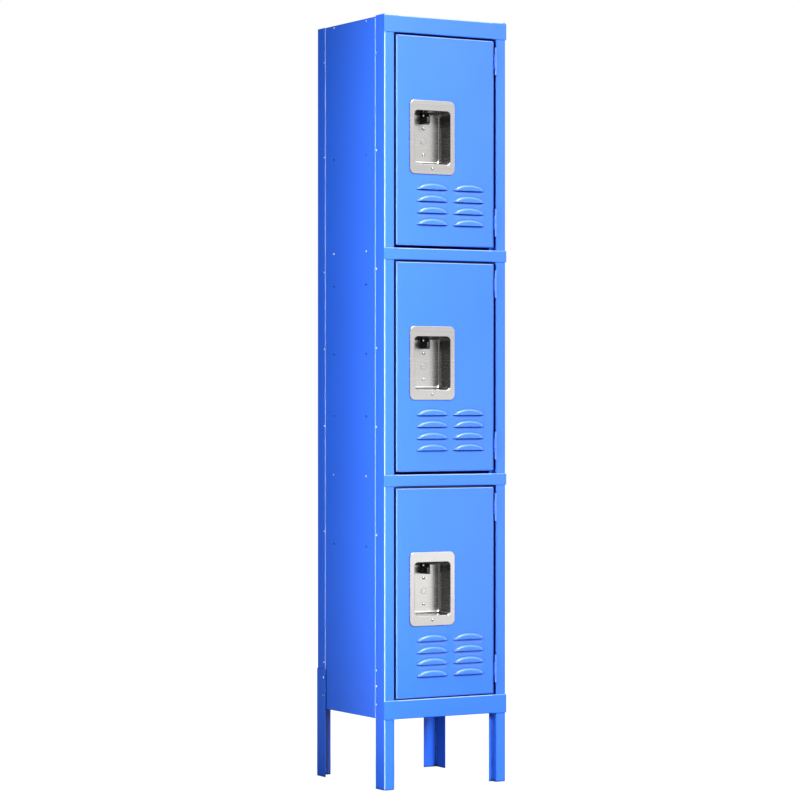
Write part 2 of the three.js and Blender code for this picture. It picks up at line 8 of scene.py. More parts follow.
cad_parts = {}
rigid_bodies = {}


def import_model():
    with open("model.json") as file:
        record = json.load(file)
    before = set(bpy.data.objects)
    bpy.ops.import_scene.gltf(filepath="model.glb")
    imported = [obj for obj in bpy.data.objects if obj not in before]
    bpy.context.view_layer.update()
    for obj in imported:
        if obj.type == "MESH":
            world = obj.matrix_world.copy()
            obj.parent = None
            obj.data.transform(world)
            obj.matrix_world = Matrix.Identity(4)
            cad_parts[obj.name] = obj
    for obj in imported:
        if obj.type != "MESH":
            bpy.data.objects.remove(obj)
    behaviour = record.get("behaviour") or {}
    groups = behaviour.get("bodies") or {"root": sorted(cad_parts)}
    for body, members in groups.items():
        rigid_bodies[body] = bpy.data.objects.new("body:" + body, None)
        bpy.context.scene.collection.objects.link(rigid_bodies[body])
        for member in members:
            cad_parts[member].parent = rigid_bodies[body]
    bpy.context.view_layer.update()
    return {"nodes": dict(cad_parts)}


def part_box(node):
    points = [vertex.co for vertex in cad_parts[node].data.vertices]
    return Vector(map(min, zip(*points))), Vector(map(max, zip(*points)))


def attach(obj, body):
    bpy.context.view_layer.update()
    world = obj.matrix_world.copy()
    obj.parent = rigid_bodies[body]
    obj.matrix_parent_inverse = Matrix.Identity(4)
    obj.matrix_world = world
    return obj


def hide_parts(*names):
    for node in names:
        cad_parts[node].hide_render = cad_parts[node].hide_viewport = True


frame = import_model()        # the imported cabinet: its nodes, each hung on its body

mm = 0.001  # pieces are modelled in millimetres and scaled to metres when they are finished
faceFront = Matrix.Rotation(math.radians(90), 4, "X")  # turns a flat shape to face the doors' way
faceRight = Matrix.Rotation(math.radians(90), 4, "Y")
tiers = ("top", "middle", "bottom")
weldGap, looseWeldGap = 0.002, 0.004  # corners nearer than this are merged
level = 0.01  # places that differ by less count as the same
foldAngles = (0.2, 0.7)  # the turn between two strips of an outward fold, in radians
sharpAngle = math.radians(50)  # edges sharper than this are softened
softEdge = 0.25


def nodeBox(name):
    low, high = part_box(name)
    return low / mm, high / mm


frontY = nodeBox("front_post_left")[0].y  # the posts' front face
postX = nodeBox("front_post_right")[1].x  # the right post's outer face
print("frame loaded, posts start at y =", round(frontY, 2), "mm")


# Shader node groups shared by the materials.

def newGroup(name, inputs, outputs):
    group = bpy.data.node_groups.new(name, "ShaderNodeTree")
    for label, kind, value in inputs:
        socket = group.interface.new_socket(label, in_out="INPUT", socket_type=kind)
        socket.default_value = value
    for label, kind in outputs:
        group.interface.new_socket(label, in_out="OUTPUT", socket_type=kind)
    return group, group.nodes.new("NodeGroupInput"), group.nodes.new("NodeGroupOutput")


def addNode(tree, kind, values=None, **settings):
    node = tree.nodes.new(kind)
    for key, value in settings.items():
        setattr(node, key, value)
    for key, value in (values or {}).items():
        node.inputs[key].default_value = value
    return node


def join(tree, *pairs):
    for source, target in pairs:
        tree.links.new(source, target)


def makeCoatTexture():
    # The fine skin of a sprayed or moulded surface, and a slow drift of tone over it.
    group, given, made = newGroup(
        "coatTexture",
        [("Grain", "NodeSocketFloat", 700.0), ("Drift", "NodeSocketFloat", 3.0)],
        [("Height", "NodeSocketFloat"), ("Tone", "NodeSocketFloat")],
    )
    place = addNode(group, "ShaderNodeTexCoord")
    grain = addNode(group, "ShaderNodeTexNoise", {"Detail": 2.0, "Roughness": 0.45})
    drift = addNode(group, "ShaderNodeTexNoise", {"Detail": 3.0, "Roughness": 0.5})
    join(
        group,
        (place.outputs["Object"], grain.inputs["Vector"]),
        (place.outputs["Object"], drift.inputs["Vector"]),
        (given.outputs["Grain"], grain.inputs["Scale"]),
        (given.outputs["Drift"], drift.inputs["Scale"]),
        (grain.outputs["Fac"], made.inputs["Height"]),
        (drift.outputs["Fac"], made.inputs["Tone"]),
    )
    return group


def makeBrushedTexture():
    # Fine straight scratches that run one way, as polishing belts leave them.
    group, given, made = newGroup(
        "brushedTexture",
        [("Stretch", "NodeSocketVector", (60.0, 1500.0, 2600.0))],
        [("Height", "NodeSocketFloat"), ("Streak", "NodeSocketFloat")],
    )
    place = addNode(group, "ShaderNodeTexCoord")
    fine = addNode(group, "ShaderNodeVectorMath", operation="MULTIPLY")
    broad = addNode(group, "ShaderNodeVectorMath", {1: (0.18, 0.18, 0.18)}, operation="MULTIPLY")
    scratch = addNode(group, "ShaderNodeTexNoise", {"Scale": 1.0, "Detail": 3.0, "Roughness": 0.7})
    streak = addNode(group, "ShaderNodeTexNoise", {"Scale": 1.0, "Detail": 2.0, "Roughness": 0.6})
    join(
        group,
        (place.outputs["Object"], fine.inputs[0]),
        (given.outputs["Stretch"], fine.inputs[1]),
        (fine.outputs[0], broad.inputs[0]),
        (fine.outputs[0], scratch.inputs["Vector"]),
        (broad.outputs[0], streak.inputs["Vector"]),
        (scratch.outputs["Fac"], made.inputs["Height"]),
        (streak.outputs["Fac"], made.inputs["Streak"]),
    )
    return group


coatTexture = makeCoatTexture()
brushedTexture = makeBrushedTexture()


# Materials.

def newMaterial(name, values):
    material = bpy.data.materials.new(name)
    material.use_nodes = True
    tree = material.node_tree
    shader = tree.nodes["Principled BSDF"]
    for key, value in values.items():
        shader.inputs[key].default_value = value
    return material, tree, shader


def spread(tree, source, low, high, target):
    # maps a noise mask, which keeps mostly to its middle, on to a range of values
    ramp = addNode(tree, "ShaderNodeMapRange", {
        "From Min": 0.3, "From Max": 0.7, "To Min": low, "To Max": high,
    })
    join(tree, (source, ramp.inputs["Value"]), (ramp.outputs["Result"], target))


def tint(tree, source, dark, light):
    # mixes two colours by a mask; a colour mix takes them on its seventh and eighth sockets
    mix = addNode(tree, "ShaderNodeMix", data_type="RGBA")
    mix.inputs[6].default_value = (*dark, 1)
    mix.inputs[7].default_value = (*light, 1)
    join(tree, (source, mix.inputs[0]))
    return mix.outputs[2]


def relief(tree, source, strength, depth, shader):
    bump = addNode(tree, "ShaderNodeBump", {"Strength": strength, "Distance": depth * mm})
    join(tree, (source, bump.inputs["Height"]), (bump.outputs["Normal"], shader.inputs["Normal"]))


def coated(name, look):
    # paint, plastic and rubber
    values = {"Metallic": 0.0, "Specular IOR Level": look.get("specular", 0.5)}
    if "coat" in look:
        values["Coat Weight"] = look["coat"]
        values["Coat Roughness"] = look["coatRoughness"]
    material, tree, shader = newMaterial(name, values)
    skin = addNode(tree, "ShaderNodeGroup", node_tree=coatTexture)
    skin.inputs["Grain"].default_value = look["grain"]
    skin.inputs["Drift"].default_value = look["drift"]
    colour = tint(tree, skin.outputs["Tone"], look["dark"], look["light"])
    if "fold" in look:  # painted highlight: outward folds get a paler colour that stands in for the light they catch
        mark = addNode(tree, "ShaderNodeAttribute", attribute_name="fold")
        highlighted = addNode(tree, "ShaderNodeMix", data_type="RGBA")
        highlighted.inputs[7].default_value = (*look["fold"], 1)
        join(tree, (mark.outputs["Fac"], highlighted.inputs[0]), (colour, highlighted.inputs[6]))
        colour = highlighted.outputs[2]
    if "shadeReach" in look:  # painted shade: ambient occlusion darkens the colour in narrow gaps and crevices
        near = addNode(tree, "ShaderNodeAmbientOcclusion", {"Distance": look["shadeReach"] * mm}, samples=8)
        least, most = look["shadeRange"]
        openness = addNode(tree, "ShaderNodeMapRange", {"From Min": least, "From Max": most})
        shade = addNode(tree, "ShaderNodeMix", data_type="RGBA")
        shade.inputs[6].default_value = (*look["shadeTone"], 1)
        join(
            tree,
            (near.outputs["AO"], openness.inputs["Value"]),
            (openness.outputs["Result"], shade.inputs[0]),
            (colour, shade.inputs[7]),
        )
        colour = shade.outputs[2]
    join(tree, (colour, shader.inputs["Base Color"]))
    spread(tree, skin.outputs["Tone"], *look["roughness"], shader.inputs["Roughness"])
    relief(tree, skin.outputs["Height"], look["relief"], look["depth"], shader)
    return material


def metal(name, look):
    material, tree, shader = newMaterial(name, {"Metallic": 1.0})
    skin = addNode(tree, "ShaderNodeGroup", node_tree=brushedTexture)
    skin.inputs["Stretch"].default_value = look["stretch"]
    colour = tint(tree, skin.outputs["Streak"], look["dark"], look["light"])
    join(tree, (colour, shader.inputs["Base Color"]))
    spread(tree, skin.outputs["Streak"], *look["roughness"], shader.inputs["Roughness"])
    relief(tree, skin.outputs["Height"], look["relief"], look["depth"], shader)
    return material


# blue paint, with a painted highlight on its folds and painted shade in its gaps
paint = coated("bluePaint", {
    "dark": (0.0095, 0.101, 0.66), "light": (0.0120, 0.113, 0.71), "fold": (0.22, 0.35, 0.76),
    "roughness": (0.36, 0.44), "grain": 900.0, "drift": 4.0, "relief": 0.12, "depth": 0.05,
    "specular": 0.5, "coat": 0.2, "coatRoughness": 0.16,
    "shadeReach": 9.0, "shadeRange": (0.42, 0.82), "shadeTone": (0.0005, 0.0015, 0.02),
})
nylon = coated("blackNylon", {
    "dark": (0.008, 0.008, 0.009), "light": (0.014, 0.014, 0.015), "roughness": (0.42, 0.55),
    "grain": 2600.0, "drift": 40.0, "relief": 0.3, "depth": 0.03,
})
rubber = coated("blackRubber", {
    "dark": (0.012, 0.012, 0.012), "light": (0.022, 0.022, 0.022), "roughness": (0.75, 0.9),
    "grain": 3000.0, "drift": 60.0, "relief": 0.4, "depth": 0.04,
})
stainless = metal("brushedStainless", {
    "dark": (0.405, 0.40, 0.39), "light": (0.435, 0.43, 0.42), "roughness": (0.25, 0.28),
    "stretch": (40.0, 60.0, 1500.0), "relief": 0.008, "depth": 0.01,
})
zinc = metal("zincPlate", {
    "dark": (0.48, 0.49, 0.50), "light": (0.62, 0.62, 0.61), "roughness": (0.3, 0.45),
    "stretch": (300.0, 300.0, 300.0), "relief": 0.15, "depth": 0.02,
})
rivetMetal = metal("rivetAluminium", {
    "dark": (0.84, 0.84, 0.83), "light": (0.92, 0.92, 0.91), "roughness": (0.3, 0.4),
    "stretch": (900.0, 900.0, 900.0), "relief": 0.1, "depth": 0.01,
})
print("materials made")


# Mesh helpers.

def only(kind, made):
    return [g for g in made if isinstance(g, kind)]


def markPaintedHighlights(bm, weigh):
    # marks the corners inside each outward fold for a painted highlight; weigh may set a corner's highlight
    # strength itself
    fold = bm.verts.layers.float.new("fold")
    bm.normal_update()
    for edge in bm.edges:
        if len(edge.link_faces) == 2 and foldAngles[0] < edge.calc_face_angle_signed() < foldAngles[1]:
            for vert in edge.verts:
                vert[fold] = 1.0
    if weigh:
        for vert in bm.verts:
            vert[fold] = weigh(vert.co, vert[fold])


def softenEdges(piece, width):
    edge = piece.modifiers.new("edges", "BEVEL")
    edge.width = width * mm
    edge.segments = 2
    edge.limit_method = "ANGLE"
    edge.angle_limit = sharpAngle


def addPiece(name, bm, material, body, stands=(), sheet=0.0, rounding=softEdge, weigh=None):
    # Finishes a piece: a wall thickness for an open sheet, small round edges, and even shading.
    bmesh.ops.remove_doubles(bm, verts=bm.verts[:], dist=weldGap)
    markPaintedHighlights(bm, weigh)
    bmesh.ops.scale(bm, vec=(mm, mm, mm), verts=bm.verts[:])
    mesh = bpy.data.meshes.new(name)
    bm.to_mesh(mesh)
    bm.free()
    mesh.materials.append(material)
    mesh.shade_smooth()
    piece = bpy.data.objects.new(name, mesh)
    bpy.context.scene.collection.objects.link(piece)
    if sheet:
        wall = piece.modifiers.new("wall", "SOLIDIFY")
        wall.thickness = sheet * mm
        wall.offset = -1
    if rounding:
        softenEdges(piece, rounding)
    shading = piece.modifiers.new("shading", "WEIGHTED_NORMAL")
    shading.weight = 100
    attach(piece, body)
    if stands:
        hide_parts(*stands)
    return piece


def turnOut(bm, facing):
    # turns an open sheet so that its largest face looks the way given
    bm.normal_update()
    largest = max(bm.faces, key=lambda f: f.calc_area())
    if largest.normal.dot(Vector(facing)) < 0:
        bmesh.ops.reverse_faces(bm, faces=bm.faces[:])


def closeUp(bm):
    bmesh.ops.remove_doubles(bm, verts=bm.verts[:], dist=weldGap)
    bmesh.ops.recalc_face_normals(bm, faces=bm.faces[:])


def grow(bm, edges, move=(0, 0, 0), centre=None, size=None, drawIn=0.0):
    # extrudes a line of edges, moves it, and draws a loop in by the same amount on every side
    made = bmesh.ops.extrude_edge_only(bm, edges=edges)["geom"]
    verts = only(bmesh.types.BMVert, made)
    bmesh.ops.translate(bm, vec=move, verts=verts)
    if drawIn:
        factors = (1 - 2 * drawIn / size[0], 1, 1 - 2 * drawIn / size[1])
        bmesh.ops.scale(bm, vec=factors, space=Matrix.Translation(-Vector(centre)), verts=verts)
    new = set(verts)
    return [e for e in only(bmesh.types.BMEdge, made) if e.verts[0] in new and e.verts[1] in new]


def foldEdges(bm, edges, radius, segments=5):
    bmesh.ops.bevel(
        bm, geom=edges, offset=radius, offset_type="OFFSET", segments=segments, profile=0.5,
        affect="EDGES", material=-1, clamp_overlap=True,
    )


def roundCorners(bm, verts, radius, segments):
    bmesh.ops.bevel(
        bm, geom=verts, offset=radius, offset_type="OFFSET", segments=segments, profile=0.5,
        affect="VERTICES", material=-1,
    )


def foldedSheet(points, axis, span, radius, facing):
    # A line of corners in one plane, drawn out along an axis, with each corner rounded to a fold.
    others = [i for i in range(3) if i != axis]
    bm = bmesh.new()
    verts = []
    for point in points:
        place = [span[0]] * 3
        place[others[0]], place[others[1]] = point
        verts.append(bm.verts.new(place))
    edges = [bm.edges.new(pair) for pair in zip(verts, verts[1:])]
    move = [0, 0, 0]
    move[axis] = span[1] - span[0]
    made = bmesh.ops.extrude_edge_only(bm, edges=edges)["geom"]
    bmesh.ops.translate(bm, vec=move, verts=only(bmesh.types.BMVert, made))
    foldEdges(bm, [e for e in bm.edges if len(e.link_faces) == 2], radius)
    turnOut(bm, facing)
    return bm


def addBlock(bm, x, y, z):
    made = bmesh.ops.create_cube(bm, size=1)["verts"]
    bmesh.ops.scale(bm, vec=(x[1] - x[0], y[1] - y[0], z[1] - z[0]), verts=made)
    bmesh.ops.translate(bm, vec=[sum(ends) / 2 for ends in (x, y, z)], verts=made)


def takeOutline(bm, before):
    # takes the one new face away and gives its edges
    face = [f for f in bm.faces if f not in before][0]
    edges = list(face.edges)
    bmesh.ops.delete(bm, geom=[face], context="FACES_ONLY")
    return edges


def roundedLoop(bm, centre, width, height, radius, segments=6):
    # the outline of a round-cornered rectangle that faces the front
    before = set(bm.faces)
    made = bmesh.ops.create_grid(bm, x_segments=1, y_segments=1, size=0.5, matrix=faceFront)["verts"]
    bmesh.ops.scale(bm, vec=(width, 1, height), verts=made)
    bmesh.ops.translate(bm, vec=centre, verts=made)
    roundCorners(bm, made, radius, segments)
    return takeOutline(bm, before)


def ring(bm, centre, radius, turn, segments=16):
    made = bmesh.ops.create_circle(
        bm, cap_ends=False, radius=radius, segments=segments, matrix=Matrix.Translation(centre) @ turn
    )["verts"]
    found = set(made)
    return [e for e in bm.edges if e.verts[0] in found and e.verts[1] in found]


def fillFlat(bm, edges, normal):
    return bmesh.ops.triangle_fill(bm, use_beauty=True, use_dissolve=False, edges=edges, normal=normal)


def cutPlane(bm, point, normal):
    everything = bm.verts[:] + bm.edges[:] + bm.faces[:]
    bmesh.ops.bisect_plane(bm, geom=everything, dist=0.001, plane_co=point, plane_no=normal)


def cutAway(bm, isGone):
    # removes the faces whose middles pass a test
    gone = [f for f in bm.faces if isGone(f.calc_center_median())]
    bmesh.ops.delete(bm, geom=gone, context="FACES")


# Front posts, rear legs and back panel: sheets folded along upright lines.

post = {
    "sheet": 1.2, "face": 24.4, "stop": 15.0, "lip": 9.0, "foldRadius": 2.2,
    "above": 3.2, "topStrip": 10.0,  # how far the side flange stands up, and a strip hidden by the rail
    "leftHighlight": 1.0, "rightHighlight": 0.1,  # how strong the painted highlight is on each outer fold: strong on the left, faint on the right
    "notchReach": 1.8, "notchDepth": 1.9, "notchMargin": 1.4,
}
leg = {"sheet": 1.2, "foldRadius": 2.0}
backSheet = {"sheet": 0.9, "foldRadius": 1.2, "curl": 1.3}
postEdge = postX - 2 * post["foldRadius"]  # the outer folds lie beyond this


def hingeSpans():
    spans = []
    for tier in tiers:
        for which in ("upper", "lower"):
            low, high = nodeBox(f"frame_leaf_{tier}_{which}")
            spans.append((tier, which, low.z, high.z))
    return spans


def notchForHinges(bm, corner, spans):
    # The post's inner corner is cut away where the hinge knuckles pass it.
    x, y, margin = corner + post["notchReach"], frontY + post["notchDepth"], post["notchMargin"]
    notches = [(low - margin, high + margin) for low, high in spans]
    for z in [end for notch in notches for end in notch]:
        cutPlane(bm, (0, 0, z), (0, 0, 1))
    cutPlane(bm, (x, 0, 0), (1, 0, 0))
    cutPlane(bm, (0, y, 0), (0, 1, 0))
    cutAway(bm, lambda at: at.x < x and at.y < y and any(low < at.z < high for low, high in notches))


def trimPostTop(bm, side, flat, top):
    # Only the side flange stands above the top rail; the rest of the post ends behind it.
    cutPlane(bm, (0, 0, top), (0, 0, 1))
    cutPlane(bm, (0, 0, top - post["topStrip"]), (0, 0, 1))  # keeps the cut's shading behind the rail
    cutAway(bm, lambda at: at.z > top and at.x * side < flat * side)


def makePost(word, side):
    low, high = nodeBox(f"front_post_{word}")
    edge = low.x if side < 0 else high.x
    inner = edge - side * post["face"]
    points = [
        (edge, high.y), (edge, frontY), (inner, frontY), (inner, frontY + post["stop"]),
        (inner - side * post["lip"], frontY + post["stop"]),
    ]
    bm = foldedSheet(points, 2, (low.z, high.z + post["above"]), post["foldRadius"], (side, 0, 0))
    trimPostTop(bm, side, edge - side * post["foldRadius"], high.z)
    if side > 0:
        notchForHinges(bm, inner, [(a, b) for _, _, a, b in hingeSpans()])
    # a painted highlight on the post's outer fold only, since the light falls from the left
    pale = post["leftHighlight"] if side < 0 else post["rightHighlight"]
    addPiece(
        f"{word}_post", bm, paint, "cabinet", [f"front_post_{word}"], post["sheet"],
        weigh=lambda co, mark: mark * pale if co.x * side > postEdge else 0.0,
    )


def makeRearLeg(word, side):
    low, high = nodeBox(f"rear_leg_{word}")
    outer, inner = (low.x, high.x) if side < 0 else (high.x, low.x)
    points = [(inner, high.y), (outer, high.y), (outer, low.y)]
    bm = foldedSheet(points, 2, (low.z, high.z), leg["foldRadius"], (side, 0, 0))
    addPiece(f"{word}_rear_leg", bm, paint, "cabinet", [f"rear_leg_{word}"], leg["sheet"])


def makeBack():
    low, high = nodeBox("back_panel")
    curl = backSheet["curl"]  # the front edges turn in against the side panels
    points = [
        (high.x - curl, low.y), (high.x, low.y), (high.x, high.y),
        (low.x, high.y), (low.x, low.y), (low.x + curl, low.y),
    ]
    bm = foldedSheet(points, 2, (low.z, high.z), backSheet["foldRadius"], (0, 1, 0))
    addPiece("back_sheet", bm, paint, "cabinet", ["back_panel"], backSheet["sheet"])


# Side panels: a flat sheet with spare shelf holes and a step that tucks in behind the post flange.

panel = {
    "sheet": 0.9, "step": 1.5, "stepRun": 2.1, "stepStart": 0.4, "lap": 17.0, "foldRadius": 0.9,
    "margin": 4.0,  # a strip beside the step that keeps its shading off the flat
    "holeRadius": 2.4, "holeSides": 14, "holeHeights": (523.0, 808.0, 944.0, 1095.5, 1377.6),
    "holeFromFront": 80.6, "holeSpacing": 144.5,
}


def makeSide(word, side):
    low, high = nodeBox(f"side_panel_{word}")
    outer = low.x if side < 0 else high.x
    flangeEnd = nodeBox(f"front_post_{word}")[1].y
    flatStart = flangeEnd + panel["stepStart"] + panel["stepRun"]
    bm = bmesh.new()
    fillStart = flatStart + panel["margin"]
    corners = [(fillStart, low.z), (high.y, low.z), (high.y, high.z), (fillStart, high.z)]
    verts = [bm.verts.new((outer, y, z)) for y, z in corners]
    outline = [bm.edges.new((verts[i], verts[(i + 1) % 4])) for i in range(4)]
    holes = []
    for z in panel["holeHeights"]:
        for y in (panel["holeFromFront"], panel["holeFromFront"] + panel["holeSpacing"]):
            holes += ring(bm, (outer, frontY + y, z), panel["holeRadius"], faceRight, panel["holeSides"])
    fillFlat(bm, outline + holes, (side, 0, 0))
    edge = grow(bm, [outline[3]], (0, -panel["margin"], 0))
    edge = grow(bm, edge, (-side * panel["step"], -panel["stepRun"], 0))
    edge = grow(bm, edge, (0, -panel["lap"], 0))
    folds = [e for e in bm.edges if len(e.link_faces) == 2 and e.calc_face_angle() > foldAngles[0]]
    foldEdges(bm, folds, panel["foldRadius"], 2)
    turnOut(bm, (side, 0, 0))
    # the step's slope just behind the post flange gets a full painted highlight
    stepFront = flangeEnd + panel["stepStart"] - panel["foldRadius"]
    addPiece(
        f"{word}_side", bm, paint, "cabinet", [f"side_panel_{word}"], panel["sheet"],
        weigh=lambda co, mark: 1.0 if stepFront < co.y < flatStart - level else mark,
    )


# Front rails: channels between the posts with a flat tab over each post.

rail = {
    "sheet": 1.2, "foldRadius": 1.9, "gap": 0.3, "edge": 0.35,
    "doorGap": 4.3,  # from a door's top edge to the rail's face above it
    "topHighlight": 0.8, "foldBand": 1.8,  # how strong the painted highlight is along the top, and how far down
}
tierBelow = {"top_rail": "top", "mid_rail_upper": "middle", "mid_rail_lower": "bottom"}


def makeRail(name):
    low, high = nodeBox(name)
    inner = postX - post["face"] - post["lip"] - rail["gap"]
    top = nodeBox("top_panel")[1].z if name == "top_rail" else high.z
    faceLow, lip = low.z, []
    if name in tierBelow:  # a stop for the door hangs down behind the face
        faceLow = nodeBox(f"door_panel_{tierBelow[name]}")[1].z + rail["doorGap"]
        lip = [(high.y, low.z)]
    points = [(high.y, top), (low.y, top), (low.y, faceLow), (high.y, faceLow)] + lip
    bm = foldedSheet(points, 0, (-inner, inner), rail["foldRadius"], (0, -1, 0))
    for side in (-1, 1):
        addTab(bm, side, low.y, inner, high.x - inner, (faceLow, top))
    turnOut(bm, (0, -1, 0))
    # a painted highlight runs along the top edge, over the tabs as well
    addPiece(
        f"{name}_channel", bm, paint, "cabinet", [name], rail["sheet"], rail["edge"],
        weigh=lambda co, mark: (
            rail["topHighlight"] * (mark or abs(co.x) > inner) if co.z > top - rail["foldBand"] else 0.0
        ),
    )


def addTab(bm, side, faceY, inner, reach, span):
    # The flat stretch of the face runs on over the post, and widens there to the full height.
    ends = [
        e for e in bm.edges
        if all(abs(v.co.x - side * inner) < level and abs(v.co.y - faceY) < level for v in e.verts)
    ]
    grow(bm, ends, (side * reach, 0, 0))
    bm.normal_update()
    tab = [f for f in bm.faces if f.calc_center_median().x * side > inner + reach / 4]
    for up, limit in zip((-1, 1), span):
        sides = [
            e for f in tab for e in f.edges
            if len(e.link_faces) == 1 and abs(e.verts[0].co.z - e.verts[1].co.z) < level
            and e.calc_length() > reach / 2 and (e.verts[0].co.z - sum(span) / 2) * up > 0
        ]
        grow(bm, sides, (0, 0, limit - sides[0].verts[0].co.z))


for word, side in (("left", -1), ("right", 1)):
    makePost(word, side)
    makeRearLeg(word, side)
    makeSide(word, side)
makeBack()
for name in ("top_rail", "mid_rail_upper", "mid_rail_lower", "bottom_rail"):
    makeRail(name)
print("carcass made")


# Doors: one folded sheet each, with pressed louvers and a cut-out for the handle cup.

door = {
    "sheet": 1.2, "foldRadius": 2.3, "margin": 1.0, "lip": 11.0, "depth": 13.0, "cornerRound": 0.5,
    "louverWidth": 75.0, "louverHeight": 13.5, "louverProud": 5.0, "louverPitch": 25.6, "louverRows": 4,
    "columnGap": 18.0, "louverFirst": 46.0, "collar": 1.9, "fullness": 9.0, "footRound": 0.55,
    "louverSteps": 9, "louverTurns": 28, "mouth": 1.1, "relief": 1.9, "reliefSteps": 5,
    "cutWidth": 92.6, "cutHeight": 118.2, "cutRadius": 9.0,
    "foldSlack": 0.1, "louverHighlight": 0.2, "topHighlight": 0.45, "sideHighlight": 0.3,  # how strong each fold's painted highlight is
}


def addLouver(bm, x, z):
    # Spins half a section about the middle of the louver's lower edge, then flattens the half disc.
    half, steps = door["louverWidth"] / 2, door["louverSteps"]
    older, others = set(bm.faces), set(bm.verts)
    section = [bm.verts.new((x + half + door["collar"], frontY, z))]
    for k in range(steps + 1):
        angle = math.radians(90 * (1 - k / steps))
        rise = door["louverProud"] * math.sqrt(1 - math.sin(angle) ** door["fullness"])
        section.append(bm.verts.new((x + half * math.sin(angle), frontY - rise, z)))
    for pair in zip(section, section[1:]):
        bm.edges.new(pair)
    roundCorners(bm, [section[1]], door["footRound"], 3)
    line = [v for v in bm.verts if v not in others]
    line += list({e for v in line for e in v.link_edges})
    bmesh.ops.spin(
        bm, geom=line, cent=(x, frontY, z), axis=(0, -1, 0), dvec=(0, 0, 0),
        angle=math.pi, steps=door["louverTurns"], use_merge=False, use_normal_flip=False, use_duplicate=False,
    )
    made = [v for v in bm.verts if v not in others]
    ratio = door["louverHeight"] / half
    bmesh.ops.scale(bm, vec=(1, 1, ratio), space=Matrix.Translation((-x, -frontY, -z)), verts=made)
    bmesh.ops.remove_doubles(bm, verts=made, dist=looseWeldGap)
    shell = [f for f in bm.faces if f not in older]
    bmesh.ops.recalc_face_normals(bm, faces=shell)
    if sum(f.normal.y * f.calc_area() for f in shell) > 0:
        bmesh.ops.reverse_faces(bm, faces=shell)


def addMouth(bm, x, z):
    # The straight cut under a louver, with a small round relief at each end.
    reach = door["louverWidth"] / 2 + door["collar"]
    radius, steps = door["relief"], door["reliefSteps"]
    stop = math.pi - math.asin(door["mouth"] / radius)
    points = []
    for k in range(steps + 1):
        angle = -stop * k / steps
        points.append((reach - radius + radius * math.cos(angle), radius * math.sin(angle)))
    points += [(-px, pz) for px, pz in reversed(points)]
    verts = [bm.verts.new((x + px, frontY, z + pz)) for px, pz in points]
    for pair in zip(verts, verts[1:]):
        bm.edges.new(pair)


def liesOnCut(edge):
    # An edge of a collar along the cut line belongs to the louver's lip, not to the rim.
    a, b = edge.verts
    return len(edge.link_faces) == 1 and abs(a.co.z - b.co.z) < 1e-5


def makeDoorFace(tier):
    low, high = nodeBox(f"door_panel_{tier}")
    cupLow, cupHigh = nodeBox(f"handle_cup_{tier}")
    cupX, cupZ = (cupLow.x + cupHigh.x) / 2, (cupLow.z + cupHigh.z) / 2
    bm = bmesh.new()
    for row in range(door["louverRows"]):
        for column in (0, 1):
            x = cupX + column * (door["louverWidth"] + door["columnGap"])
            z = low.z + door["louverFirst"] + row * door["louverPitch"]
            addLouver(bm, x, z)
            addMouth(bm, x, z)
    bmesh.ops.remove_doubles(bm, verts=bm.verts[:], dist=looseWeldGap)
    rims = [
        e for e in bm.edges
        if len(e.link_faces) < 2 and not liesOnCut(e) and all(abs(v.co.y - frontY) < 0.001 for v in e.verts)
    ]
    width, height = high.x - low.x, high.z - low.z
    centre = ((low.x + high.x) / 2, frontY, (low.z + high.z) / 2)
    inset = door["foldRadius"] + door["margin"]
    outline = roundedLoop(bm, centre, width - 2 * inset, height - 2 * inset, door["cornerRound"], 1)
    hole = roundedLoop(bm, (cupX, frontY, cupZ), door["cutWidth"], door["cutHeight"], door["cutRadius"])
    fillFlat(bm, rims + outline + hole, (0, -1, 0))
    return bm, outline, centre, (width, height), inset


def makeDoor(tier):
    # Folds the face's edges back and then inwards.
    bm, outline, centre, size, inset = makeDoorFace(tier)
    inner = (size[0] - 2 * inset, size[1] - 2 * inset)
    edges = grow(bm, outline, centre=centre, size=inner, drawIn=-door["margin"])
    inner = (inner[0] + 2 * door["margin"], inner[1] + 2 * door["margin"])
    edges = grow(bm, edges, centre=centre, size=inner, drawIn=-door["foldRadius"])
    rear = grow(bm, edges, (0, door["depth"], 0))
    grow(bm, rear, centre=centre, size=size, drawIn=door["lip"])
    foldEdges(bm, edges + rear, door["foldRadius"] - door["foldSlack"])  # just short of the strip
    turnOut(bm, (0, -1, 0))
    addPiece(
        f"{tier}_door", bm, paint, f"door_{tier}", [f"door_panel_{tier}"], door["sheet"], 0,
        weigh=lambda co, mark: mark * doorHighlight(co, centre, size),
    )


def doorHighlight(co, centre, size):
    # the painted highlight is strongest on the latch side and along the top, where the light falls; the
    # louvers get a weak one
    if co.y < frontY - 0.2:
        return door["louverHighlight"]
    if co.z > centre[2] + size[1] / 2 - 2 * door["foldRadius"]:
        return door["topHighlight"]
    return door["sideHighlight"] if co.x < centre[0] else 0.0


for tier in tiers:
    makeDoor(tier)
print("doors made")


# Handle cups: a polished plate with a deep-drawn recess.

